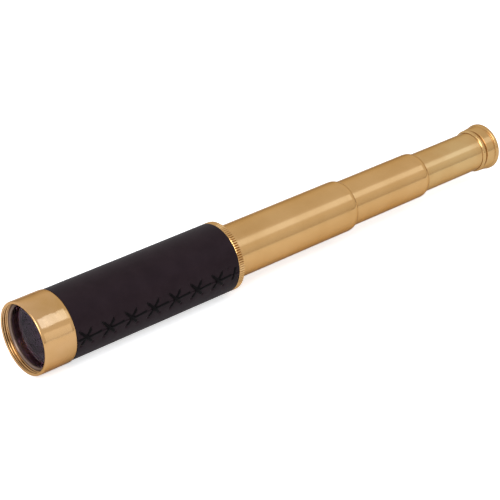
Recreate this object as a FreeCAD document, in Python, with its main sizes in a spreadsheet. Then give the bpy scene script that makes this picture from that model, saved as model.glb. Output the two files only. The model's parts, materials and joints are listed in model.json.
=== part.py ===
import FreeCAD, Part
import Sketcher
import math
import os
import re

# A hand telescope of brass with three draws: a leather-covered barrel with the
# objective at its front, then the large, medium and small draws, each sliding
# in the one before it, and the eyecup at the rear end.  Millimetres throughout.
# Every turned piece is drawn in the XZ plane and spun about the X axis, with
# x = 0 at its front end.  X runs from the objective to the eye, and Z is up.

SIZES = {
    # objective cell
    "cell_radius": 18.5,
    "cell_length": 17.9,
    "cell_edge": 0.4,
    "thread_radius": 17.2,
    "thread_length": 3.3,
    "relief_radius": 17.5,
    "lens_pocket_front": 5.0,
    "lens_seat": 11.2,
    "lens_seat_lip": 1.0,
    "lens_seat_radius": 15.2,
    "retainer_bore": 15.7,
    "retainer_setback": 0.25,
    "retainer_bevel": 0.7,
    # objective doublet
    "objective_radius": 16.6,
    "objective_curve": 110.0,
    "crown_edge": 2.2,
    # barrel
    "barrel_length": 119.7,
    "barrel_radius": 16.8,
    "barrel_wall": 0.8,
    "leather_radius": 18.09,
    "collar_length": 3.1,
    "collar_radius": 18.08,
    "collar_edge": 0.15,
    "collar_chamfer": 0.4,
    "collar_front_radius": 17.72,
    "collar_web": 1.5,
    "collar_bore": 14.3,
    "knurl_depth": 0.40,
    "knurl_half_width": 0.52,
    "barrel_bush_length": 11.2,
    "barrel_baffle_front": 24.5,
    "barrel_baffle_bore": 14.3,
    "baffle_thickness": 1.5,
    # lacing of the leather's seam, along its -Y side
    "lace_radius": 0.38,
    "stitch_length": 6.8,
    "stitch_width": 7.9,
    "stitch_pitch": 13.2,
    "first_stitch": 23.4,
    "last_limb": 112.8,
    "lace_rise": 0.3,
    "lace_sink": 0.3,
    "dash_length": 5.4,
    "dash_slope": 0.35,
    # how far each draw stands out at rest
    "large_extension": 82.0,
    "medium_extension": 54.2,
    "small_extension": 43.1,
    # draws
    "glue_gap": 0.05,
    "running_gap": 0.08,
    "draw_wall": 0.6,
    "large_radius": 13.92,
    "medium_radius": 12.44,
    "small_radius": 10.87,
    "large_length": 99.2,
    "medium_length": 96.2,
    "small_length": 85.1,
    "large_baffle_front": 6.2,
    "large_baffle_bore": 12.1,
    "medium_baffle_front": 4.7,
    "medium_baffle_bore": 10.6,
    "stop_length": 4.4,
    "stop_gap": 0.12,
    "felt_setback": 1.2,
    "felt_length": 2.0,
    "felt_groove": 0.3,
    "nose_length": 4.7,
    "nose_shoulder": 2.4,
    "nose_tip": 0.9,
    "nose_fall": 0.27,
    "nose_drop": 0.75,
    "nose_round": 4.0,
    "spigot_length": 6.0,
    "bush_wall": 0.38,
    "bush_length": 13.0,
    "bush_lip": 0.5,
    "bush_lip_rise": 0.14,
    # erector tube in the small draw
    "erector_front": 6.0,
    "erector_length": 38.0,
    "erector_pocket": 6.0,
    "erector_bore": 7.4,
    "erector_radius": 8.2,
    "erector_curve": 16.0,
    "erector_edge": 1.2,
    "erector_ring_bore": 7.5,
    "erector_stop_front": 18.0,
    "erector_stop_bore": 2.2,
    "lens_ring_length": 1.4,
    "lens_ring_setback": 0.35,
    "diaphragm_thickness": 0.8,
    # eyepiece tube in the small draw
    "eyepiece_length": 26.0,
    "eyepiece_bore": 7.6,
    "field_pocket": 5.5,
    "field_radius": 8.6,
    "field_curve": 14.0,
    "field_edge": 1.3,
    "field_ring_bore": 7.8,
    "field_ring_front": 2.0,
    "field_stop_front": 11.0,
    "field_stop_bore": 5.0,
    "eye_lip_front": 18.0,
    "eye_lip_length": 1.0,
    "eye_lip_bore": 5.2,
    "eye_lens_front": 17.55,
    "eye_radius": 6.2,
    "eye_curve": 9.5,
    "eye_edge": 1.4,
    "eye_ring_front": 21.4,
    "eye_ring_bore": 4.6,
    # eyecup
    "eyecup_length": 11.4,
    "eyecup_socket": 7.4,
    "eyecup_hole": 4.5,
    "dish_floor": 8.8,
    "dish_radius": 11.3,
    "bead_radius": 11.8,
    "bead_end": 2.0,
    "waist_front": 2.15,
    "waist_back": 2.85,
    "waist_radius": 11.3,
    "flare_front": 3.0,
    "flare_front_radius": 11.95,
    "flare_back": 8.0,
    "flare_back_radius": 12.3,
    "groove_station": 8.8,
    "groove_radius": 11.9,
    "lip_front": 9.35,
    "lip_radius": 12.87,
    "lip_round": 0.4,
    "bead_round": 0.6,
}
KNURL_TEETH = 90
STITCH_COUNT = 7

STATION = {"barrel": "0"}
STATION["large_mouth"] = "barrel_length + large_extension"
STATION["medium_mouth"] = STATION["large_mouth"] + " + medium_extension"
STATION["small_mouth"] = STATION["medium_mouth"] + " + small_extension"
STATION["large"] = STATION["large_mouth"] + " - large_length"
STATION["medium"] = STATION["medium_mouth"] + " - medium_length"
STATION["small"] = STATION["small_mouth"] + " - small_length"
OVERALL = f"({STATION['small_mouth']} + eyecup_length)"

doc = FreeCAD.newDocument("telescope")
sheet = doc.addObject("Spreadsheet::Sheet", "Sizes")
for row, (alias, value) in enumerate(SIZES.items(), start=1):
    sheet.set(f"A{row}", alias)
    sheet.set(f"B{row}", str(value))
    sheet.setAlias(f"B{row}", alias)
doc.recompute()

subparts = []


def named(expression):
    """Point each word of a size expression at its cell in the sheet."""
    return re.sub(r"[a-z]\w*", r"Sizes.\g<0>", expression)


def bind(thing, place, expression):
    thing.setExpression(place, named(expression))


def put_at(thing, group, station):
    """Stand a sub-part on the optical axis, at its station in its group."""
    bind(thing, ".Placement.Base.x", f"{STATION[group]} + {station} - {OVERALL} / 2")
    bind(thing, ".Placement.Base.z", "cell_radius")
    subparts.append(thing)


def origin_item(body, role):
    return next(item for item in body.Origin.OriginFeatures if item.Role == role)


def outline_sketch(body, name, role, corners):
    """A closed outline whose every corner is held at two sizes from the sheet."""
    sketch = body.newObject("Sketcher::SketchObject", name)
    sketch.AttachmentSupport = [(origin_item(body, role), "")]
    sketch.MapMode = "FlatFace"
    count = len(corners)
    turns = [2 * math.pi * step / count for step in range(count)]
    rough = [FreeCAD.Vector(20 + 10 * math.cos(turn), 20 + 10 * math.sin(turn), 0) for turn in turns]
    for index in range(count):
        sketch.addGeometry(Part.LineSegment(rough[index], rough[(index + 1) % count]), False)
    for index in range(count):
        sketch.addConstraint(Sketcher.Constraint("Coincident", index, 2, (index + 1) % count, 1))
    for index, (along, out) in enumerate(corners):
        held = (("DistanceX", rough[index].x, along), ("DistanceY", rough[index].y, out))
        for kind, start, expression in held:
            number = sketch.addConstraint(Sketcher.Constraint(kind, -1, 1, index, 1, start))
            bind(sketch, f"Constraints[{number}]", expression)
    doc.recompute()
    return sketch


def swept_edge(shape, sketch, corner):
    """The name of the circular edge that an outline's corner sweeps."""
    point = sketch.getPoint(corner, 1)
    for number, edge in enumerate(shape.Edges, start=1):
        circle = edge.Curve
        if isinstance(circle, Part.Circle):
            off = abs(circle.Center.x - point.x) + abs(circle.Radius - point.y)
            if off < 1e-4:
                return f"Edge{number}"
    raise ValueError(f"{sketch.Label}: corner {corner} sweeps no edge")


def turned(label, group, station, outline, bevels=(), rounds=()):
    """A turned piece; bevels and rounds hold (corner numbers, size) pairs."""
    body = doc.addObject("PartDesign::Body", label)
    body.Label = label
    sketch = outline_sketch(body, label + "_outline", "XZ_Plane", outline)
    last = body.newObject("PartDesign::Revolution", label + "_turned")
    last.Profile = sketch
    last.ReferenceAxis = (sketch, ["H_Axis"])
    last.Angle = 360
    doc.recompute()
    edits = [("PartDesign::Chamfer", "Size", corners, size) for corners, size in bevels]
    edits += [("PartDesign::Fillet", "Radius", corners, size) for corners, size in rounds]
    for kind, measure, corners, size in edits:
        edges = [swept_edge(last.Shape, sketch, corner) for corner in corners]
        edit = body.newObject(kind, label + "_edge")
        edit.Base = (last, edges)
        bind(edit, measure, size)
        doc.recompute()
        last = edit
    put_at(body, group, station)
    return body


def sleeve(label, group, station, length, bore, outer):
    """A plain ring or tube."""
    return turned(label, group, station, [("0", bore), (length, bore), (length, outer), ("0", outer)])


def disc(name, length, radius):
    """A lens blank along X, from x = 0."""
    blank = doc.addObject("Part::Cylinder", name)
    blank.Placement.Rotation = FreeCAD.Rotation(FreeCAD.Vector(0, 1, 0), 90)
    bind(blank, "Height", length)
    bind(blank, "Radius", radius)
    return blank


def ball(name, centre, curve):
    """The sphere that one polished face of a lens belongs to."""
    sphere = doc.addObject("Part::Sphere", name)
    bind(sphere, "Radius", curve)
    bind(sphere, ".Placement.Base.x", centre)
    return sphere


def sagitta(curve, radius):
    """How far a polished face of this curve falls back at this radius."""
    return f"({curve} - ({curve} ^ 2 - {radius} ^ 2) ^ 0.5)"


def lens(label, group, station, radius, edge, curve, front=False, back=False):
    """A lens with x = 0 at its front, bulging to the front, to the back or both."""
    bulge = sagitta(curve, radius)
    length = f"{edge} + {bulge} * {int(front) + int(back)}"
    shapes = [disc(label + "_blank", length, radius)]
    if front:
        shapes.append(ball(label + "_front_face", curve, curve))
    if back:
        shapes.append(ball(label + "_back_face", f"{length} - {curve}", curve))
    piece = doc.addObject("Part::MultiCommon", label)
    piece.Label = label
    piece.Shapes = shapes
    put_at(piece, group, station)


# ---------------------------------------------------------------- barrel
def objective_cell():
    pocket = "objective_radius + glue_gap"
    socket = "barrel_radius + glue_gap"
    outline = [
        ("0", "thread_radius"),
        ("thread_length", "thread_radius"),
        ("thread_length", "relief_radius"),
        ("lens_pocket_front", "relief_radius"),
        ("lens_pocket_front", pocket),
        ("lens_seat", pocket),
        ("lens_seat", "lens_seat_radius"),
        ("lens_seat + lens_seat_lip", "lens_seat_radius"),
        ("lens_seat + lens_seat_lip", socket),
        ("cell_length", socket),
        ("cell_length", "cell_radius"),
        ("0", "cell_radius"),
    ]
    turned("objective_cell", "barrel", "0", outline, bevels=[((10, 11), "cell_edge")])


def objective_glass():
    bulge = sagitta("objective_curve", "objective_radius")
    lens("objective_crown_lens", "barrel", f"lens_pocket_front - {bulge}", "objective_radius",
         "crown_edge", "objective_curve", front=True, back=True)
    flint_front = "lens_pocket_front + crown_edge + glue_gap"
    blank = disc("objective_flint_blank", f"lens_seat - ({flint_front})", "objective_radius")
    hollow = ball("objective_flint_hollow", f"{bulge} - objective_curve", "objective_curve")
    flint = doc.addObject("Part::Cut", "objective_flint_lens")
    flint.Label = "objective_flint_lens"
    flint.Base = blank
    flint.Tool = hollow
    put_at(flint, "barrel", flint_front)


def objective_retaining_ring():
    length = "lens_pocket_front - thread_length - retainer_setback"
    outline = [
        ("0", "retainer_bore"),
        (length, "retainer_bore"),
        (length, "relief_radius - glue_gap"),
        ("0", "relief_radius - glue_gap"),
    ]
    turned("objective_retaining_ring", "barrel", "thread_length", outline,
           bevels=[((0,), "retainer_bevel")])


def barrel_shell():
    front = "lens_seat + lens_seat_lip"
    bore = "barrel_radius - barrel_wall"
    sleeve("barrel_tube", "barrel", front, f"barrel_length - collar_web - ({front})", bore,
           "barrel_radius")
    sleeve("leather_sleeve", "barrel", "cell_length", "barrel_length - collar_length - cell_length",
           "barrel_radius + glue_gap", "leather_radius")
    sleeve("barrel_bush", "barrel", "barrel_length - collar_web - barrel_bush_length",
           "barrel_bush_length - glue_gap", "large_radius + running_gap", f"{bore} - glue_gap")
    sleeve("barrel_baffle", "barrel", "barrel_baffle_front", "baffle_thickness",
           "barrel_baffle_bore", f"{bore} - glue_gap")


def knurled_collar():
    step = "collar_length - collar_web"
    socket = "barrel_radius + glue_gap"
    outline = [
        ("0", socket),
        (step, socket),
        (step, "collar_bore"),
        ("collar_length", "collar_bore"),
        ("collar_length", "collar_radius"),
        ("collar_chamfer", "collar_radius"),
        ("0", "collar_front_radius"),
    ]
    body = turned("knurled_collar", "barrel", "barrel_length - collar_length", outline,
                  bevels=[((4,), "collar_edge")])
    smooth = body.Tip.Shape.Volume
    notch = outline_sketch(body, "knurl_notch", "YZ_Plane", [
        ("0", "collar_radius - knurl_depth"),
        ("knurl_half_width", "collar_radius + glue_gap"),
        ("-knurl_half_width", "collar_radius + glue_gap"),
    ])
    cut = body.newObject("PartDesign::Pocket", "knurl_cut")
    cut.Profile = notch
    cut.Reversed = True
    bind(cut, "Length", "collar_length")
    doc.recompute()
    teeth = body.newObject("PartDesign::PolarPattern", "knurl_teeth")
    teeth.Originals = [cut]
    teeth.Axis = (origin_item(body, "X_Axis"), [""])
    teeth.Angle = 360
    teeth.Occurrences = KNURL_TEETH
    body.Tip = teeth
    doc.recompute()
    if teeth.Shape.Volume > smooth - KNURL_TEETH * 0.1:
        raise ValueError("the knurl cuts nothing")


def lace_limb(station, slope, out):
    """One limb of a stitch, bent round the barrel on the seam's side."""
    size = sheet.get
    angle = math.atan2(size("stitch_width"), size("stitch_length"))
    span = math.hypot(size("stitch_width"), size("stitch_length"))
    bend = size("leather_radius") / math.sin(angle) ** 2
    half = math.degrees(span / 2 / bend)
    limb = Part.makeTorus(bend, size("lace_radius"), FreeCAD.Vector(), FreeCAD.Vector(0, 0, 1),
                          -180, 180, 2 * half)
    limb.rotate(FreeCAD.Vector(), FreeCAD.Vector(0, 0, 1), -90 - half)
    limb.rotate(FreeCAD.Vector(), FreeCAD.Vector(0, 1, 0), slope * math.degrees(angle))
    limb.translate(FreeCAD.Vector(station, bend - out, 0))
    return limb


def seam_lacing():
    size = sheet.get
    under = size("leather_radius") - size("lace_sink")
    over = under + size("lace_rise")
    pieces = []
    for number in range(STITCH_COUNT):
        station = size("first_stitch") + number * size("stitch_pitch")
        pieces.append(lace_limb(station, 1, under).fuse(lace_limb(station, -1, over)))
        if number < STITCH_COUNT - 1:
            middle = station + size("stitch_pitch") / 2
            along = FreeCAD.Vector(size("dash_length"), 0, size("dash_slope"))
            start = FreeCAD.Vector(middle, -under, 0) - along / 2
            pieces.append(Part.makeCylinder(size("lace_radius"), along.Length, start, along))
    pieces.append(lace_limb(size("last_limb"), -1, under))
    lacing = doc.addObject("Part::Feature", "seam_lacing")
    lacing.Label = "seam_lacing"
    lacing.Shape = Part.makeCompound(pieces)
    put_at(lacing, "barrel", "0")


# ----------------------------------------------------------------- draws
def stop_ring(size, bore):
    """The ring on a draw's front end, grooved for its felt, and the felt."""
    outer = f"{bore} - stop_gap"
    floor = f"{outer} - felt_groove"
    felt_end = "felt_setback + felt_length"
    outline = [
        ("0", f"{size}_radius + glue_gap"),
        ("stop_length", f"{size}_radius + glue_gap"),
        ("stop_length", outer),
        (felt_end, outer),
        (felt_end, floor),
        ("felt_setback", floor),
        ("felt_setback", outer),
        ("0", outer),
    ]
    turned(f"{size}_draw_stop_ring", size, "0", outline)
    sleeve(f"{size}_draw_felt", size, "felt_setback + running_gap", "felt_length - 2 * running_gap",
           f"{floor} + running_gap", f"{bore} - running_gap")


def end_collar(size, inner):
    """The rounded mouth of a draw, on a spigot inside the draw's tube."""
    bore = f"{inner}_radius + running_gap + bush_wall + glue_gap"
    spigot = f"{size}_radius - draw_wall - glue_gap"
    end = "spigot_length + nose_length"
    outline = [
        ("0", bore),
        (end, bore),
        (end, f"{size}_radius - nose_drop"),
        (f"{end} - nose_tip", f"{size}_radius - nose_fall"),
        ("spigot_length + nose_shoulder", f"{size}_radius"),
        ("spigot_length", f"{size}_radius"),
        ("spigot_length", spigot),
        ("0", spigot),
    ]
    turned(f"{size}_draw_end_collar", size, f"{size}_length - nose_length - spigot_length", outline,
           rounds=[((3, 4), "nose_round")])


def draw_bush(size, inner):
    """The bearing in a draw's mouth, with a small lip outside."""
    bore = f"{inner}_radius + running_gap"
    outer = f"{bore} + bush_wall"
    outline = [
        ("0", bore),
        ("bush_length + bush_lip", bore),
        ("bush_length + bush_lip", f"{outer} + bush_lip_rise"),
        ("bush_length", f"{outer} + bush_lip_rise"),
        ("bush_length", outer),
        ("0", outer),
    ]
    turned(f"{size}_draw_bush", size, f"{size}_length - bush_length", outline)


def draw(size, bore, inner):
    """A draw that carries another one: tube, stop, mouth, bush and baffle."""
    sleeve(f"{size}_draw_tube", size, "0", f"{size}_length - nose_length",
           f"{size}_radius - draw_wall", f"{size}_radius")
    stop_ring(size, bore)
    end_collar(size, inner)
    draw_bush(size, inner)
    sleeve(f"{size}_draw_baffle", size, f"{size}_baffle_front", "baffle_thickness",
           f"{size}_baffle_bore", f"{size}_radius - draw_wall - glue_gap")


# ------------------------------------------------------------ small draw
def erector():
    outer = "small_radius - draw_wall - glue_gap"
    pocket = "erector_radius + glue_gap"
    rear = "erector_length - erector_pocket"
    outline = [
        ("0", pocket),
        ("erector_pocket", pocket),
        ("erector_pocket", "erector_bore"),
        (rear, "erector_bore"),
        (rear, pocket),
        ("erector_length", pocket),
        ("erector_length", outer),
        ("0", outer),
    ]
    turned("erector_tube", "small", "erector_front", outline)
    bulge = sagitta("erector_curve", "erector_radius")
    front_lens = f"erector_front + erector_pocket - erector_edge - {bulge}"
    rear_lens = f"erector_front + {rear}"
    rear_vertex = f"{rear_lens} + erector_edge + {bulge}"
    lens("erector_front_lens", "small", front_lens, "erector_radius", "erector_edge", "erector_curve",
         front=True)
    lens("erector_rear_lens", "small", rear_lens, "erector_radius", "erector_edge", "erector_curve",
         back=True)
    sleeve("erector_front_ring", "small", f"{front_lens} + lens_ring_setback", "lens_ring_length",
           "erector_ring_bore", "erector_radius")
    sleeve("erector_rear_ring", "small", f"{rear_vertex} - lens_ring_setback - lens_ring_length",
           "lens_ring_length", "erector_ring_bore", "erector_radius")
    sleeve("erector_diaphragm", "small", "erector_front + erector_stop_front", "diaphragm_thickness",
           "erector_stop_bore", "erector_bore - glue_gap")


def eyepiece():
    front = "small_length + eyecup_socket - glue_gap - eyepiece_length"
    outer = "small_radius - draw_wall - glue_gap"
    field_bore = "field_radius + glue_gap"
    eye_bore = "eye_radius + glue_gap"
    lip_back = "eye_lip_front + eye_lip_length"
    outline = [
        ("0", field_bore),
        ("field_pocket", field_bore),
        ("field_pocket", "eyepiece_bore"),
        ("eye_lip_front", "eyepiece_bore"),
        ("eye_lip_front", "eye_lip_bore"),
        (lip_back, "eye_lip_bore"),
        (lip_back, eye_bore),
        ("eyepiece_length", eye_bore),
        ("eyepiece_length", outer),
        ("0", outer),
    ]
    turned("eyepiece_tube", "small", front, outline)
    field_lens = f"{front} + field_pocket - field_edge - {sagitta('field_curve', 'field_radius')}"
    lens("field_lens", "small", field_lens, "field_radius", "field_edge", "field_curve", front=True)
    sleeve("field_lens_ring", "small", f"{front} + field_ring_front", "lens_ring_length",
           "field_ring_bore", "field_radius")
    sleeve("field_stop", "small", f"{front} + field_stop_front", "diaphragm_thickness",
           "field_stop_bore", "eyepiece_bore - glue_gap")
    lens("eye_lens", "small", f"{front} + eye_lens_front", "eye_radius", "eye_edge", "eye_curve",
         front=True)
    sleeve("eye_lens_ring", "small", f"{front} + eye_ring_front", "lens_ring_length",
           "eye_ring_bore", "eye_radius")


def eyecup():
    socket = "small_radius + glue_gap"
    outline = [
        ("0", socket),
        ("eyecup_socket", socket),
        ("eyecup_socket", "eyecup_hole"),
        ("dish_floor", "eyecup_hole"),
        ("eyecup_length", "dish_radius"),
        ("eyecup_length", "lip_radius"),
        ("lip_front", "lip_radius"),
        ("groove_station", "groove_radius"),
        ("flare_back", "flare_back_radius"),
        ("flare_front", "flare_front_radius"),
        ("waist_back", "waist_radius"),
        ("waist_front", "waist_radius"),
        ("bead_end", "bead_radius"),
        ("0", "bead_radius"),
    ]
    turned("eyecup", "small", "small_length", outline,
           rounds=[((5, 6), "lip_round"), ((12, 13), "bead_round")])


def small_draw():
    sleeve("small_draw_tube", "small", "0", "small_length + eyecup_socket - glue_gap",
           "small_radius - draw_wall", "small_radius")
    stop_ring("small", "medium_radius - draw_wall")
    erector()
    eyepiece()
    eyecup()


objective_cell()
objective_glass()
objective_retaining_ring()
barrel_shell()
knurled_collar()
seam_lacing()
draw("large", "barrel_radius - barrel_wall", "medium")
draw("medium", "large_radius - draw_wall", "small")
small_draw()
doc.recompute()

for thing in doc.Objects:
    if {"Invalid", "Error"} & set(thing.State):
        raise ValueError(f"{thing.Label} did not compute: {thing.State}")
for thing in subparts:
    if thing.Shape.isNull() or not thing.Shape.isValid():
        raise ValueError(f"{thing.Label} has no valid shape")

os.makedirs("parts", exist_ok=True)
for thing in subparts:
    thing.Shape.exportStep(f"parts/{thing.Label}.step")
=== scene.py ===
import json
import math

import bpy
from mathutils import Matrix, Vector, noise


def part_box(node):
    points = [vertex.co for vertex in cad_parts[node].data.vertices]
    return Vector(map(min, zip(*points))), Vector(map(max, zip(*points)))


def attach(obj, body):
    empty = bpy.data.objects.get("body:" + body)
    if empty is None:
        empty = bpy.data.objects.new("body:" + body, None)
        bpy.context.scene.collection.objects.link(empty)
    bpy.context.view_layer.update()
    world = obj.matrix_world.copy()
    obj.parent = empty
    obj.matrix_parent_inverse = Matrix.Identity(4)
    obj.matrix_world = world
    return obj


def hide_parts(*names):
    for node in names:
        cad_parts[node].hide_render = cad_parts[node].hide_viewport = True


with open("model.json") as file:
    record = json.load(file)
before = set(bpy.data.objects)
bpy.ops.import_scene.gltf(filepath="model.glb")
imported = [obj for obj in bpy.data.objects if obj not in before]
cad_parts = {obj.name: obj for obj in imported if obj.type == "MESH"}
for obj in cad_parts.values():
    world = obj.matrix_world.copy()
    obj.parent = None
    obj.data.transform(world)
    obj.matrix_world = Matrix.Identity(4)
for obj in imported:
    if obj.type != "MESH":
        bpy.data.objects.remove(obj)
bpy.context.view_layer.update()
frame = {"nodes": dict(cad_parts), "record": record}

# A brass hand telescope with three draws, lying on a pale studio floor.
# Lengths are in metres.  The optical axis runs along +X at the height AXIS_Z.

MM = 0.001
CELL_LOW, CELL_HIGH = (Vector(corner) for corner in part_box("objective_cell"))
AXIS_Z = (CELL_LOW.z + CELL_HIGH.z) / 2
RIM_X = CELL_LOW.x
GLUE_GAP = 0.05 * MM
SEAM_ANGLE = math.pi  # the laced seam runs along the -Y side


# ------------------------------------------------------------ mesh helpers
def outer_radius(node):
    """The outside radius of a turned CAD piece."""
    return (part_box(node)[1][2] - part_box(node)[0][2]) / 2


def ends(node):
    """Where a CAD piece begins and ends along the axis."""
    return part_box(node)[0][0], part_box(node)[1][0]


def on_axis(x, radius, angle):
    """A point at a radius and angle about the optical axis; angle 0 is +Y."""
    return Vector((x, radius * math.cos(angle), AXIS_Z + radius * math.sin(angle)))


LONGEST_REACH = 0.49  # the share of a straight stretch that the arc at one end may take up


def softened(corners, steps=6):
    """An outline with its corners (x, r, rounding) turned into arcs."""
    points = []
    count = len(corners)
    for index, (x, r, rounding) in enumerate(corners):
        here = Vector((x, r))
        before = Vector(corners[index - 1][:2]) - here
        after = Vector(corners[(index + 1) % count][:2]) - here
        if rounding <= 0:
            points.append(here)
            continue
        half = before.angle(after) / 2
        reach = min(rounding / math.tan(half), min(before.length, after.length) * LONGEST_REACH)
        true = reach * math.tan(half)
        middle = (before.normalized() + after.normalized()).normalized()
        centre = here + middle * (true / math.sin(half))
        first = here + before.normalized() * reach - centre
        last = here + after.normalized() * reach - centre
        for step in range(steps + 1):
            arm = first.lerp(last, step / steps)
            points.append(centre + arm.normalized() * true)
    return points


def mesh_piece(name, verts, faces, material, sharp=math.radians(35)):
    """A smooth-shaded object, with edges left sharp where its faces turn by more than sharp."""
    mesh = bpy.data.meshes.new(name)
    mesh.from_pydata([tuple(v) for v in verts], [], faces)
    mesh.validate()
    mesh.polygons.foreach_set("use_smooth", [True] * len(mesh.polygons))
    mesh.set_sharp_from_angle(angle=sharp)
    mesh.materials.append(material)
    piece = bpy.data.objects.new(name, mesh)
    bpy.context.scene.collection.objects.link(piece)
    return piece


def spun(name, outline, material, segments=180, shape=None, sharp=math.radians(35)):
    """A turned piece from a closed (x, r) outline; shape(index, angle, x, r) may move a point."""
    verts, faces = [], []
    count = len(outline)
    for turn in range(segments):
        angle = 2 * math.pi * turn / segments
        for index, (x, r) in enumerate(outline):
            if shape:
                x, r = shape(index, angle, x, r)
            verts.append(on_axis(x, r, angle))
    for turn in range(segments):
        here, there = turn * count, (turn + 1) % segments * count
        for index in range(count):
            following = (index + 1) % count
            faces.append((here + index, here + following, there + following, there + index))
    return mesh_piece(name, verts, faces, material, sharp)


# -------------------------------------------------------- material helpers
class Build:
    """A material's node tree, with short calls to add and join nodes."""

    def __init__(self, name):
        self.material = bpy.data.materials.new(name)
        self.material.use_nodes = True
        self.tree = self.material.node_tree
        self.shader = self.tree.nodes["Principled BSDF"]
        self.coords = self.add("ShaderNodeTexCoord").outputs["Object"]

    def add(self, kind, **settings):
        node = self.tree.nodes.new(kind)
        for key, value in settings.items():
            setattr(node, key, value)
        return node

    def put(self, socket, value):
        if isinstance(value, bpy.types.NodeSocket):
            self.tree.links.new(value, socket)
        else:
            socket.default_value = value

    def stretched(self, scale):
        mapping = self.add("ShaderNodeMapping")
        self.put(mapping.inputs["Vector"], self.coords)
        mapping.inputs["Scale"].default_value = scale
        return mapping.outputs["Vector"]

    def noise(self, vector, scale, detail=3.0, roughness=0.5):
        texture = self.add("ShaderNodeTexNoise")
        self.put(texture.inputs["Vector"], vector)
        texture.inputs["Scale"].default_value = scale
        texture.inputs["Detail"].default_value = detail
        texture.inputs["Roughness"].default_value = roughness
        return texture.outputs["Fac"]

    def cells(self, vector, scale):
        texture = self.add("ShaderNodeTexVoronoi")
        self.put(texture.inputs["Vector"], vector)
        texture.inputs["Scale"].default_value = scale
        return texture.outputs["Distance"]

    def math(self, operation, first, second=0.0):
        node = self.add("ShaderNodeMath", operation=operation)
        self.put(node.inputs[0], first)
        self.put(node.inputs[1], second)
        return node.outputs[0]

    def spread(self, value, low, high, start=0.0, end=1.0):
        """Maps start..end onto low..high, held at both ends."""
        node = self.add("ShaderNodeMapRange")
        self.put(node.inputs["Value"], value)
        node.inputs["From Min"].default_value = start
        node.inputs["From Max"].default_value = end
        node.inputs["To Min"].default_value = low
        node.inputs["To Max"].default_value = high
        return node.outputs["Result"]

    def mix(self, factor, first, second):
        node = self.add("ShaderNodeMix", data_type="RGBA")
        self.put(node.inputs["Factor"], factor)
        self.put(node.inputs["A"], first)
        self.put(node.inputs["B"], second)
        return node.outputs["Result"]

    def bump(self, height, strength, distance, normal=None):
        node = self.add("ShaderNodeBump")
        self.put(node.inputs["Height"], height)
        node.inputs["Strength"].default_value = strength
        node.inputs["Distance"].default_value = distance
        if normal:
            self.put(node.inputs["Normal"], normal)
        return node.outputs["Normal"]

    def radius(self):
        """Distance from the optical axis."""
        parts = self.add("ShaderNodeSeparateXYZ")
        self.put(parts.inputs["Vector"], self.coords)
        up = self.math("SUBTRACT", parts.outputs["Z"], AXIS_Z)
        squares = self.math("ADD", self.math("MULTIPLY", parts.outputs["Y"], parts.outputs["Y"]),
                            self.math("MULTIPLY", up, up))
        return self.math("SQRT", squares)

    def along(self):
        """Distance behind the rim of the cell."""
        parts = self.add("ShaderNodeSeparateXYZ")
        self.put(parts.inputs["Vector"], self.coords)
        return self.math("SUBTRACT", parts.outputs["X"], RIM_X)

    def between(self, value, low, high, blur):
        """1 where the value is from low to high, falling to 0 over blur on each side."""
        rise = self.spread(value, 0.0, 1.0, low - blur, low)
        return self.math("MULTIPLY", rise, self.spread(value, 1.0, 0.0, high, high + blur))

    def set(self, **inputs):
        """Shader inputs by name, with spaces written as underscores."""
        for key, value in inputs.items():
            self.put(self.shader.inputs[key.replace("_", " ")], value)


BRASS_LIGHT = (0.635, 0.382, 0.158, 1.0)
BRASS_DEEP = (0.575, 0.332, 0.126, 1.0)
BRASS_PALE = (0.630, 0.414, 0.182, 1.0)
BRASS_ROSY = (0.660, 0.408, 0.205, 1.0)
BRASS_EDGE = (0.62, 0.50, 0.40, 1.0)
BRASS_GRIME = (0.260, 0.140, 0.055, 1.0)
# Groove colours: partly grime, partly painted shade that darkens threads, knurls and other grooves.
GROOVE_GRIME_AND_SHADE = (0.210, 0.105, 0.034, 1.0)
PALE_GRIME_AND_SHADE = (0.420, 0.240, 0.092, 1.0)
BLACK_PAINT = (0.026, 0.017, 0.016, 1.0)
CELL_PAINT = (0.140, 0.097, 0.092, 1.0)
PAINT_ROUGH = 0.6
GLASS_ROUGH = 0.01
BRASS_SHINE = 0.03
# Stretching a noise one way makes rings round the axis or streaks along it.
ROUND_THE_AXIS = (1.0, 0.02, 0.02)
ALONG_THE_AXIS = (0.012, 1.0, 1.0)


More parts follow.
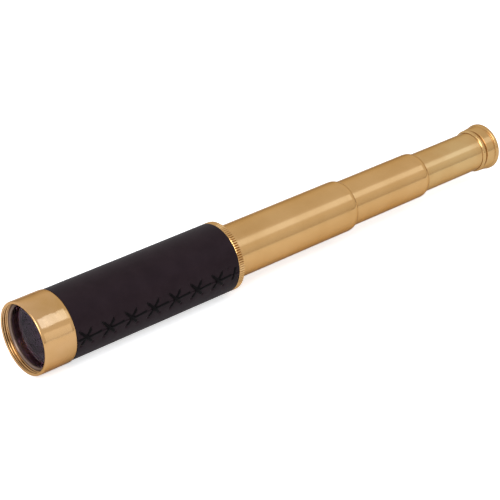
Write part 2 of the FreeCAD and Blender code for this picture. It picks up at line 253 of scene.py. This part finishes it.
def brass(name, rough, lathe_marks, draw_marks, light=BRASS_LIGHT, black_inside=None, grooves=(),
          waves=0.0, paint=BLACK_PAINT, grime_and_shade=GROOVE_GRIME_AND_SHADE):
    """Brass with turning rings, lengthwise slide marks and slight tarnish.

    black_inside is the radius inside which a tube is painted with paint. grooves holds the
    ranges (from x, to x, from radius, to radius) darkened as grime and painted shade. waves
    is the height of the shallow unevenness that polishing leaves.
    """
    build = Build(name)
    rings = build.noise(build.stretched(ROUND_THE_AXIS), 4200.0, 3.0, 0.6)
    streaks = build.noise(build.stretched(ALONG_THE_AXIS), 2600.0, 4.0, 0.6)
    clouds = build.noise(build.coords, 42.0, 3.0, 0.55)
    specks = build.noise(build.coords, 800.0, 3.0, 0.6)
    tone = build.mix(build.spread(clouds, 0.0, 1.0, 0.34, 0.70), light, BRASS_DEEP)
    stain = build.spread(specks, 0.0, 0.16, 0.68, 0.82)
    colour = build.mix(stain, tone, BRASS_GRIME)
    # Painted shade, partly grime: each groove range is darkened towards the groove colour.
    for front, back, low, high in grooves:
        inside = build.math("MULTIPLY", build.between(build.along(), front, back, 0.1 * MM),
                            build.between(build.radius(), low, high, 0.08 * MM))
        colour = build.mix(inside, colour, grime_and_shade)
    wear = build.spread(clouds, rough * 0.9, rough * 1.15, 0.3, 0.7)
    marks = build.spread(streaks, -0.02 * draw_marks, 0.04 * draw_marks, 0.35, 0.75)
    roughness = build.math("ADD", wear, marks)
    metallic = 1.0
    if black_inside:
        inside = build.spread(build.radius(), 1.0, 0.0, black_inside, black_inside + 0.05 * MM)
        colour = build.mix(inside, colour, paint)
        roughness = build.math("MAXIMUM", roughness, build.math("MULTIPLY", inside, PAINT_ROUGH))
        metallic = build.spread(inside, 1.0, 0.0)
    normal = build.bump(rings, lathe_marks, 0.002 * MM)
    normal = build.bump(streaks, draw_marks, 0.0015 * MM, normal)
    if waves:
        normal = build.bump(build.noise(build.coords, 170.0, 1.0), 1.0, waves, normal)
    build.set(Base_Color=colour, Metallic=metallic, Roughness=roughness, Normal=normal,
              Specular_Tint=BRASS_EDGE, Specular_IOR_Level=BRASS_SHINE)
    return build.material


def blackened(name):
    """Chemically blackened brass: dark brown-black, partly metallic, a little dusty."""
    build = Build(name)
    dust = build.noise(build.coords, 700.0, 4.0, 0.65)
    rings = build.noise(build.stretched(ROUND_THE_AXIS), 3800.0, 3.0, 0.6)
    colour = build.mix(build.spread(dust, 0.0, 1.0, 0.35, 0.75), (0.160, 0.105, 0.082, 1.0),
                       (0.220, 0.150, 0.120, 1.0))
    normal = build.bump(rings, 0.3, 0.004 * MM)
    build.set(Base_Color=colour, Roughness=build.spread(dust, 0.24, 0.36), Metallic=0.6, Normal=normal)
    return build.material


def leather(name):
    """Smooth dyed leather: near-black brown, fine pores and a waxed sheen."""
    build = Build(name)
    pores = build.cells(build.coords, 2300.0)
    grain = build.noise(build.coords, 1500.0, 4.0, 0.6)
    folds = build.noise(build.coords, 130.0, 3.0, 0.55)
    colour = build.mix(build.spread(folds, 0.0, 1.0, 0.3, 0.72), (0.0105, 0.0048, 0.0070, 1.0),
                       (0.0150, 0.0078, 0.0105, 1.0))
    colour = build.mix(build.spread(pores, 0.55, 0.0, 0.05, 0.45), colour, (0.006, 0.0035, 0.004, 1.0))
    height = build.math("ADD", build.math("MULTIPLY", pores, 0.6), build.math("MULTIPLY", grain, 0.7))
    normal = build.bump(height, 0.22, 0.04 * MM)
    build.set(Base_Color=colour, Roughness=build.spread(grain, 0.48, 0.62), Normal=normal,
              Specular_IOR_Level=0.09, Sheen_Weight=0.02, Sheen_Roughness=0.4)
    return build.material


def lace(name):
    """Waxed black cord."""
    build = Build(name)
    fibres = build.noise(build.coords, 5200.0, 3.0, 0.6)
    colour = build.mix(fibres, (0.0010, 0.0007, 0.0009, 1.0), (0.0030, 0.0020, 0.0026, 1.0))
    build.set(Base_Color=colour, Roughness=build.spread(fibres, 0.35, 0.55),
              Normal=build.bump(fibres, 0.4, 0.02 * MM), Specular_IOR_Level=0.05)
    return build.material


def felt(name):
    """Dark fluffy felt."""
    build = Build(name)
    fluff = build.noise(build.coords, 3000.0, 6.0, 0.75)
    colour = build.mix(fluff, (0.02, 0.018, 0.016, 1.0), (0.07, 0.062, 0.055, 1.0))
    build.set(Base_Color=colour, Roughness=build.spread(fluff, 0.85, 1.0),
              Normal=build.bump(fluff, 0.8, 0.08 * MM), Sheen_Weight=0.4)
    return build.material


def glass(name, tint, sheen, ior):
    """Polished glass; its coating tints what it mirrors and lowers its index."""
    build = Build(name)
    haze = build.noise(build.coords, 260.0, 4.0, 0.6)
    dimmed = tuple(channel * 0.9 for channel in tint[:3]) + (1.0,)
    build.set(Base_Color=build.mix(build.spread(haze, 0.0, 0.08, 0.4, 0.7), tint, dimmed),
              Roughness=build.spread(haze, GLASS_ROUGH, GLASS_ROUGH * 3, 0.4, 0.8),
              Transmission_Weight=1.0, IOR=ior, Specular_Tint=sheen)
    return build.material


TUBE_SKIN = 0.3 * MM  # how much of a tube's wall stays bare brass


def tube_look(node):
    """A drawn tube, painted black inside; the smallest draw is a little paler."""
    light = BRASS_PALE if node == "small_draw_tube" else BRASS_LIGHT
    return brass("brass_" + node, 0.19, lathe_marks=0.15, draw_marks=0.5, light=light,
                 black_inside=outer_radius(node) - TUBE_SKIN)


TUBES = ("barrel_tube", "large_draw_tube", "medium_draw_tube", "small_draw_tube")
# The thread of the cell and the gaps between the knurls of the collar are darkened: partly grime, partly
# painted shade in the grooves.
THREAD_GRIME_AND_SHADE = (0.3 * MM, 3.5 * MM, 17.55 * MM, 17.85 * MM)
KNURL_GRIME_AND_SHADE = (117.2 * MM, 119.9 * MM, 17.2 * MM, 17.80 * MM)

polished = brass("brass_polished", 0.10, lathe_marks=0.5, draw_marks=0.1)
# The cell's thread is darkened: painted shade, partly grime.
cell_look = brass("brass_cell", 0.11, lathe_marks=0.4, draw_marks=0.1, light=BRASS_ROSY,
                  black_inside=16.9 * MM, grooves=[THREAD_GRIME_AND_SHADE], waves=0.14 * MM, paint=CELL_PAINT)
tube_looks = {node: tube_look(node) for node in TUBES}
satin = brass("brass_satin", 0.19, lathe_marks=0.3, draw_marks=0.4)
# The collar's knurl gaps are darkened with the paler groove colour: painted shade, partly grime.
collar_look = brass("brass_collar", 0.14, lathe_marks=0.3, draw_marks=0.1, grooves=[KNURL_GRIME_AND_SHADE],
                    grime_and_shade=PALE_GRIME_AND_SHADE)
black = blackened("brass_blackened")
hide = leather("leather_dyed")
cord_look = lace("lace_waxed")
coated = glass("glass_coated", tint=(0.66, 0.52, 0.70, 1.0), sheen=(0.72, 0.30, 0.56, 1.0), ior=1.14)
clear = glass("glass_clear", tint=(0.90, 0.88, 0.92, 1.0), sheen=(0.95, 0.45, 0.65, 1.0), ior=1.08)

SLOT_LOOKS = {
    "polished_brass": polished,
    "tube_brass": satin,
    "blackened_metal": black,
    "dark_leather": hide,
    "black_lace": cord_look,
    "felt": felt("felt_dark"),
    "coated_glass": coated,
    "clear_glass": clear,
}
NODE_LOOKS = {"knurled_collar": collar_look, **tube_looks}
for part in frame["record"]["subparts"]:
    look = NODE_LOOKS.get(part["node"], SLOT_LOOKS[part["material_slot"]])
    materials = frame["nodes"][part["node"]].data.materials
    for index in range(len(materials)):
        materials[index] = look


# -------------------------------------------------------- objective cell
THREAD_PITCH = 1.3 * MM
THREAD_DEPTH = 0.55 * MM
THREAD_CREST = 17.2 * MM
THREAD_START = 0.25 * MM
THREAD_RUNOUT = 0.4 * MM
THREAD_END = RIM_X + 3.3 * MM
CELL_RELIEF = 17.5 * MM
POCKET = 16.65 * MM
POCKET_X = RIM_X + 5.0 * MM
SEAT_X = RIM_X + 11.2 * MM
SEAT_RADIUS = 15.2 * MM
SOCKET_X = RIM_X + 12.2 * MM
SOCKET = 16.85 * MM


def threaded_cell():
    """The cell, with a real helical thread cut in its mouth and gently rounded edges."""
    back, radius = CELL_HIGH.x, outer_radius("objective_cell")
    rows = 60
    front = RIM_X + THREAD_START
    mouth = [(front + (THREAD_END - front) * row / rows, THREAD_CREST) for row in range(rows + 1)]
    body = softened([
        (THREAD_END + 0.1 * MM, CELL_RELIEF, 0),
        (POCKET_X, CELL_RELIEF, 0),
        (POCKET_X, POCKET, 0),
        (SEAT_X, POCKET, 0),
        (SEAT_X, SEAT_RADIUS, 0),
        (SOCKET_X, SEAT_RADIUS, 0),
        (SOCKET_X, SOCKET, 0),
        (back, SOCKET, 0.05 * MM),
        (back, radius - 0.40 * MM, 0.20 * MM),
        (back - 0.55 * MM, radius - 0.10 * MM, 0.9 * MM),
        (back - 1.7 * MM, radius, 5.0 * MM),
        (RIM_X + 1.3 * MM, radius, 4.0 * MM),
        (RIM_X + 0.30 * MM, radius - 0.07 * MM, 0.5 * MM),
        (RIM_X, radius - 0.28 * MM, 0.2 * MM),
        (RIM_X, THREAD_CREST + THREAD_DEPTH, 0.1 * MM),
    ], steps=5)

    def cut(index, angle, x, r):
        """Sinks the points of the mouth into the thread, which fades out at both its ends."""
        if index > rows:
            return x, r
        phase = (x - RIM_X) / THREAD_PITCH - angle / (2 * math.pi)
        fade = min(1.0, (THREAD_END - x) / THREAD_RUNOUT) * min(1.0, (x - front) / THREAD_START)
        return x, r + THREAD_DEPTH * fade * (0.5 - 0.5 * math.cos(2 * math.pi * phase))

    outline = mouth + [tuple(point) for point in body]
    return spun("objective_cell_turned", outline, cell_look, 288, cut, math.radians(50))


cell = threaded_cell()
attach(cell, "barrel")
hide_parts("objective_cell")


# --------------------------------------------------------- leather sleeve
SLEEVE_FRONT, SLEEVE_BACK = ends("leather_sleeve")
SLEEVE_RADIUS = outer_radius("leather_sleeve")
SLEEVE_BORE = outer_radius("barrel_tube") + GLUE_GAP
STITCH_PITCH = 13.2 * MM
STITCH_REACH = 3.4 * MM  # half a stitch's length along the seam
STITCH_HALF = 3.95 * MM  # half its width round the barrel
FIRST_STITCH = RIM_X + 23.4 * MM
STITCHES = [FIRST_STITCH + number * STITCH_PITCH for number in range(7)]
LAST_LIMB = RIM_X + 112.8 * MM
BUMP_ROOM = 0.05 * MM  # keeps the leather's bumps inside its CAD radius
SEAM_ZONE = 9 * MM  # how far from the seam the leather is dented
ROLLED_END = 0.55 * MM
ROLL_DEPTH = 0.45 * MM
THONG_HALF_WIDTH = 0.68 * MM
THONG_HALF_THICK = 0.22 * MM
THONG_UNEVEN = 0.16
THONG_ROLL = 0.16


def stitch_holes():
    """Where the cord goes through the leather, as (x, distance round from the seam)."""
    holes = [(x + side * STITCH_REACH, up * STITCH_HALF) for x in STITCHES
             for side in (-1, 1) for up in (-1, 1)]
    return holes + [(LAST_LIMB - STITCH_REACH, -STITCH_HALF), (LAST_LIMB + STITCH_REACH, STITCH_HALF)]


HOLES = stitch_holes()


def bell(distance, width):
    return math.exp(-(distance / width) ** 2)


def seam_relief(x, around):
    """The slightly wandering line where the leather's edges meet, between two low ridges."""
    wander = 0.12 * MM * noise.noise(Vector((x / (9 * MM), 7.7, 0.0)))
    seam = abs(around - wander)
    return 0.10 * MM * bell(seam - 0.75 * MM, 0.5 * MM) - 0.42 * MM * bell(seam, 0.22 * MM)


def hole_relief(x, around):
    """A dent with a low rim round each hole of the lacing."""
    height = 0.0
    for hole_x, hole_around in HOLES:
        off = math.hypot(x - hole_x, around - hole_around)
        if off < 3.5 * MM:
            height -= 0.20 * MM * bell(off, 1.4 * MM) + 0.45 * MM * bell(off, 0.55 * MM)
            height += 0.05 * MM * bell(off - 1.15 * MM, 0.4 * MM)
    return height


def stitch_relief(x, around):
    """A dip under each crossing, channels under its limbs, and a swell above and below it."""
    height = 0.0
    for stitch in STITCHES:
        if abs(x - stitch) >= 6 * MM:
            continue
        centre = math.hypot(x - stitch, around)
        height -= 0.34 * MM * bell(centre, 1.3 * MM)
        for slope in (-1, 1):
            across = abs((x - stitch) * STITCH_HALF - slope * around * STITCH_REACH)
            across /= math.hypot(STITCH_HALF, STITCH_REACH)
            height -= 0.17 * MM * bell(across, 0.85 * MM) * bell(centre, 4.6 * MM)
        height += 0.05 * MM * bell(abs(x - stitch), 2.2 * MM) * bell(abs(around) - 5.2 * MM, 1.6 * MM)
    return height


def leather_height(x, angle):
    """The leather's outer radius, with its seam, dents, holes and rolled ends."""
    around = (angle - SEAM_ANGLE) * SLEEVE_RADIUS
    height = SLEEVE_RADIUS - BUMP_ROOM
    height += 0.035 * MM * noise.noise(Vector((x / (14 * MM), around / (12 * MM), 3.1)))
    if abs(around) < SEAM_ZONE:
        height += seam_relief(x, around) + hole_relief(x, around) + stitch_relief(x, around)
    edge = min(x - SLEEVE_FRONT, SLEEVE_BACK - x) / ROLLED_END
    if edge < 1.0:
        height -= ROLL_DEPTH * (1.0 - math.sqrt(max(0.0, 1.0 - (1.0 - edge) ** 2)))
    return height


def sleeve_angles():
    """Angles round the sleeve, closer together beside the seam."""
    fine_half, fine_steps, coarse_step = 32, 110, 2
    fine = [SEAM_ANGLE + math.radians(fine_half * (step / fine_steps - 1))
            for step in range(2 * fine_steps)]
    coarse = [SEAM_ANGLE + math.radians(step) for step in range(fine_half, 361 - fine_half, coarse_step)]
    return fine + coarse


def leather_sleeve():
    """The leather as one closed skin: its outside, rolled ends and bore."""
    rows = 560
    span = SLEEVE_BACK - SLEEVE_FRONT
    stations = [SLEEVE_FRONT + span * row / rows for row in range(rows + 1)]
    angles = sleeve_angles()
    wide = len(angles)
    verts, faces = [], []
    for x in stations:
        verts += [on_axis(x, leather_height(x, angle), angle) for angle in angles]
    for x in (SLEEVE_BACK, SLEEVE_FRONT):
        verts += [on_axis(x, SLEEVE_BORE, angle) for angle in angles]
    loops = list(range(rows + 3))
    for row, following in zip(loops, loops[1:] + loops[:1]):
        for step in range(wide):
            beside = (step + 1) % wide
            faces.append((row * wide + step, row * wide + beside,
                          following * wide + beside, following * wide + step))
    return mesh_piece("leather_sleeve_skin", verts, faces, hide, math.radians(50))


sleeve = leather_sleeve()
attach(sleeve, "barrel")
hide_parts("leather_sleeve")


# ---------------------------------------------------------- seam lacing
def squared_off(value):
    """Bends a circle's sine or cosine towards a box with round corners."""
    return math.copysign(abs(value) ** 0.7, value)


def thong(points, sides=20):
    """Rings of a flat leather thong, slightly uneven and turning a little, along the points."""
    rings = []
    for index, point in enumerate(points):
        ahead = points[min(index + 1, len(points) - 1)]
        behind = points[max(index - 1, 0)]
        forward = (ahead - behind).normalized()
        out = Vector((0.0, point.y, point.z - AXIS_Z)).normalized()
        side = forward.cross(out).normalized()
        out = side.cross(forward).normalized()
        uneven = noise.noise(Vector((point.x / (1.6 * MM), point.z / (1.6 * MM), 4.2)))
        wide = THONG_HALF_WIDTH * (1.0 + THONG_UNEVEN * uneven)
        roll = THONG_ROLL * noise.noise(Vector((point.x / (4 * MM), point.z / (4 * MM), 9.1)))
        ring = []
        for step in range(sides):
            angle = 2 * math.pi * step / sides
            across = wide * squared_off(math.cos(angle))
            above = THONG_HALF_THICK * squared_off(math.sin(angle)) + roll * across
            ring.append(point + side * across + out * above)
        rings.append(ring)
    return rings


def cord_mesh(runs):
    """The points and faces of closed tubes, one for each run of rings."""
    verts, faces = [], []
    for rings in runs:
        base = len(verts)
        sides = len(rings[0])
        for ring in rings:
            verts += ring
        for row in range(len(rings) - 1):
            for step in range(sides):
                beside = (step + 1) % sides
                faces.append((base + row * sides + step, base + row * sides + beside,
                              base + (row + 1) * sides + beside, base + (row + 1) * sides + step))
        faces.append(tuple(base + step for step in reversed(range(sides))))
        faces.append(tuple(base + (len(rings) - 1) * sides + step for step in range(sides)))
    return verts, faces


DIVE_SHARE = 0.13  # the share of a limb over which it dives into its hole
DIVE_DEPTH = 1.1 * MM
THONG_LIFT = 0.01 * MM


def limb_points(start, end, rise, dive_start=True, dive_end=True, steps=40):
    """A thong laid on the leather from one (x, around) to another, diving at its holes.

    rise is how far its middle stands above (or is pulled in below) its ends.
    """
    points = []
    for step in range(steps + 1):
        share = step / steps
        x = start[0] + (end[0] - start[0]) * share
        around = start[1] + (end[1] - start[1]) * share
        angle = SEAM_ANGLE + around / SLEEVE_RADIUS
        height = SLEEVE_RADIUS + THONG_LIFT + rise * bell(share - 0.5, 0.24)
        if dive_start:
            height -= DIVE_DEPTH * max(0.0, 1 - share / DIVE_SHARE) ** 1.5
        if dive_end:
            height -= DIVE_DEPTH * max(0.0, 1 - (1 - share) / DIVE_SHARE) ** 1.5
        points.append(on_axis(x, height, angle))
    return points


LOWER_RISE = -0.26 * MM
UPPER_RISE = 0.16 * MM
LEAD_RISE = -0.05 * MM
LEAD_START = 0.9 * MM  # how far behind a crossing the lead to the next stitch comes out
LEAD_END = 3.6 * MM  # how far before the next crossing it goes in
LEAD_HIGH = 0.45 * MM
LEAD_LOW = -0.35 * MM


def seam_lacing():
    """Crossed stitches, the lead from each to the next, and the half stitch by the collar."""
    half = STITCH_HALF
    limbs = []
    for number, x in enumerate(STITCHES):
        front, back = x - STITCH_REACH, x + STITCH_REACH
        limbs.append(limb_points((front, half), (back, -half), LOWER_RISE))
        limbs.append(limb_points((front, -half), (back, half), UPPER_RISE))
        if number:
            start = (STITCHES[number - 1] + LEAD_START, LEAD_HIGH)
            limbs.append(limb_points(start, (x - LEAD_END, LEAD_LOW), LEAD_RISE, dive_start=False))
    first, last = STITCHES[0], STITCHES[-1]
    limbs.append(limb_points((SLEEVE_FRONT + 0.9 * MM, 0.3 * MM), (first - 0.4 * MM, 0.1 * MM), 0.0,
                             dive_end=False))
    limbs.append(limb_points((last + LEAD_START, LEAD_HIGH), (LAST_LIMB - 1.2 * MM, -0.3 * MM),
                             LEAD_RISE, dive_start=False))
    limbs.append(limb_points((LAST_LIMB - 1.2 * MM, half), (LAST_LIMB + 1.4 * MM, -half), 0.0))
    verts, faces = cord_mesh([thong(points) for points in limbs])
    return mesh_piece("seam_lacing_thongs", verts, faces, cord_look, math.radians(60))


lacing = seam_lacing()
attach(lacing, "barrel")
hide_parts("seam_lacing")


# ---------------------------------------------------------------- eyecup
CUP_FRONT = ends("eyecup")[0]
CUP_SOCKET = outer_radius("small_draw_tube") + GLUE_GAP
CUP_LIP = outer_radius("eyecup")
CUP_START = CUP_FRONT - RIM_X
# Painted shade, partly grime: the groove behind the bead and the valley before the lip are darkened.
BEAD_GRIME_AND_SHADE = (CUP_START + 2.15 * MM, CUP_START + 2.85 * MM, 10.9 * MM, 11.45 * MM)
WAIST_GRIME_AND_SHADE = (CUP_START + 8.7 * MM, CUP_START + 9.0 * MM, 11.4 * MM, 11.75 * MM)
cup_look = brass("brass_eyecup", 0.15, lathe_marks=0.4, draw_marks=0.1, light=BRASS_PALE,
                 grooves=[BEAD_GRIME_AND_SHADE, WAIST_GRIME_AND_SHADE], grime_and_shade=PALE_GRIME_AND_SHADE)


def cup(x, r, rounding=0.0):
    """A corner of the eyecup's outline, in millimetres from its front end."""
    return CUP_FRONT + x * MM, r * MM, rounding * MM


def eyecup():
    """Bead, thin groove, flared waist, rounded lip and a dished face with a small hole."""
    corners = [
        cup(0.0, CUP_SOCKET / MM),
        cup(7.4, CUP_SOCKET / MM),
        cup(7.4, 4.5),
        cup(8.5, 4.5, 0.15),
        cup(9.3, 6.6, 4.0),
        cup(11.25, 10.9, 1.2),
        cup(11.4, 11.9, 0.45),
        cup(11.2, 12.82, 0.6),
        cup(10.2, CUP_LIP / MM, 0.9),
        cup(9.4, 12.80, 0.5),
        cup(8.85, 11.55, 0.35),
        cup(8.3, 12.35, 0.7),
        cup(7.2, 12.3, 2.5),
        cup(3.1, 11.95, 0.25),
        cup(2.8, 11.2, 0.1),
        cup(2.2, 11.2, 0.1),
        cup(2.0, 11.70, 0.4),
        cup(1.25, 11.92, 0.8),
        cup(0.45, 11.60, 0.6),
        cup(0.05, 11.0, 0.3),
        cup(0.0, CUP_SOCKET / MM + 0.12, 0.05),
    ]
    return spun("eyecup_turned", [tuple(point) for point in softened(corners)], cup_look, 240)


dished = eyecup()
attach(dished, "small_draw")
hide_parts("eyecup")


# --------------------------------------------------------------- studio
FLOOR_REACH = 12.0
FLOOR_GLOW = 0.60


def grey(value):
    return value, value, value, 1.0


def floor():
    """White paper to the horizon. The camera alone also sees it glow, as an overexposed ground."""
    mesh = bpy.data.meshes.new("floor")
    corners = [(-FLOOR_REACH, -FLOOR_REACH, 0), (FLOOR_REACH, -FLOOR_REACH, 0),
               (FLOOR_REACH, FLOOR_REACH, 0), (-FLOOR_REACH, FLOOR_REACH, 0)]
    mesh.from_pydata(corners, [], [(0, 1, 2, 3)])
    build = Build("floor_paper")
    paper = build.noise(build.coords, 40.0, 3.0)
    seen = build.add("ShaderNodeLightPath").outputs["Is Camera Ray"]
    build.set(Base_Color=build.mix(paper, grey(0.80), grey(0.83)), Roughness=0.9,
              Specular_IOR_Level=0.0, Emission_Color=grey(1.0),
              Emission_Strength=build.math("MULTIPLY", seen, FLOOR_GLOW))
    mesh.materials.append(build.material)
    piece = bpy.data.objects.new("floor", mesh)
    bpy.context.scene.collection.objects.link(piece)


def soft_light(name, place, target, size, power, colour=(1.0, 1.0, 1.0)):
    """A soft box of a (width, height) that hangs at place and faces target."""
    light = bpy.data.lights.new(name, "AREA")
    light.shape = "RECTANGLE"
    light.size, light.size_y = size
    light.energy = power
    light.color = colour
    lamp = bpy.data.objects.new(name, light)
    lamp.location = place
    lamp.rotation_euler = (Vector(target) - Vector(place)).to_track_quat("-Z", "Y").to_euler()
    bpy.context.scene.collection.objects.link(lamp)


HORIZON_GREY, OVERHEAD_GREY = 0.55, 0.78
# Between them: heights, as the sine of the angle above the horizon, and their greys.
SKY_GREYS = ((0.10, 0.78), (0.40, 0.92), (0.75, 0.84))


def room():
    """A pale room: dim at the horizon, brightest part way up, a little dimmer overhead."""
    world = bpy.data.worlds.new("studio")
    bpy.context.scene.world = world
    world.use_nodes = True
    tree = world.node_tree
    direction = tree.nodes.new("ShaderNodeTexCoord")
    split = tree.nodes.new("ShaderNodeSeparateXYZ")
    ramp = tree.nodes.new("ShaderNodeValToRGB")
    tree.links.new(direction.outputs["Generated"], split.inputs["Vector"])
    tree.links.new(split.outputs["Z"], ramp.inputs["Fac"])
    tree.links.new(ramp.outputs["Color"], tree.nodes["Background"].inputs["Color"])
    stops = ramp.color_ramp.elements
    stops[0].position, stops[1].position = 0.0, 1.0
    stops[0].color = grey(HORIZON_GREY)
    stops[1].color = grey(OVERHEAD_GREY)
    for height, value in SKY_GREYS:
        stops.new(height).color = grey(value)


CAMERA_PLACE = Vector((-0.3798, -0.6012, 0.4438)) + Vector((RIM_X, 0.0, AXIS_Z))
CAMERA_RIGHT = Vector((0.757345, -0.653015, 0.0))
CAMERA_UP = Vector((0.320683, 0.371917, 0.871120))
CAMERA_LENS = 129.5
SENSOR_WIDTH = 36.0
CLIP_START, CLIP_END = 0.01, 40.0
LIGHT_DISTANCE = 1.0
STRIP_X = 0.03
CELL_X = -0.147


def mirrored(start, bearing):
    """Where a light must hang for a tube to mirror it to the camera at start, a station in x.

    bearing is its angle in degrees above the level -Y direction, seen from the tube.
    """
    angle = math.radians(bearing)
    slope = (start - CAMERA_PLACE.x) / math.hypot(CAMERA_PLACE.y, CAMERA_PLACE.z - AXIS_Z)
    return Vector((start + slope * LIGHT_DISTANCE, -LIGHT_DISTANCE * math.cos(angle),
                   AXIS_Z + LIGHT_DISTANCE * math.sin(angle)))


def mirrored_light(name, start, bearing, size, power, colour):
    """A soft light that the brass mirrors to the camera as a highlight at start."""
    place = mirrored(start, bearing)
    soft_light(name, place, (place.x, 0.0, AXIS_Z), size, power, colour)


def studio():
    """A strip above for the tubes, two small soft boxes for the cell, and two in front."""
    room()
    mirrored_light("strip", STRIP_X, 54.0, (0.74, 0.46), 0.56, (0.74, 1.0, 1.55))
    mirrored_light("cell_top", CELL_X, 58.0, (0.14, 0.54), 0.22, (0.68, 1.0, 1.80))
    mirrored_light("cell_side", CELL_X, 11.5, (0.14, 0.52), 0.083, (0.85, 1.0, 1.30))
    soft_light("window", (-0.70, -0.60, 1.50), (0.0, 0.0, AXIS_Z), (1.3, 1.3), 12.0)
    soft_light("front", (-1.28, -0.60, 0.81), (RIM_X, 0.0, AXIS_Z), (0.8, 0.8), 8.0)


def camera():
    """The photo's camera, fitted to the outlines of the tubes."""
    data = bpy.data.cameras.new("camera")
    data.lens = CAMERA_LENS
    data.sensor_width = SENSOR_WIDTH
    data.clip_start = CLIP_START
    data.clip_end = CLIP_END
    shot = bpy.data.objects.new("camera", data)
    back = CAMERA_RIGHT.cross(CAMERA_UP)
    turned = Matrix((CAMERA_RIGHT, CAMERA_UP, back)).transposed()
    shot.matrix_world = Matrix.Translation(CAMERA_PLACE) @ turned.to_4x4()
    bpy.context.scene.collection.objects.link(shot)
    bpy.context.scene.camera = shot


floor()
studio()
camera()
bpy.context.scene.view_settings.view_transform = "Standard"
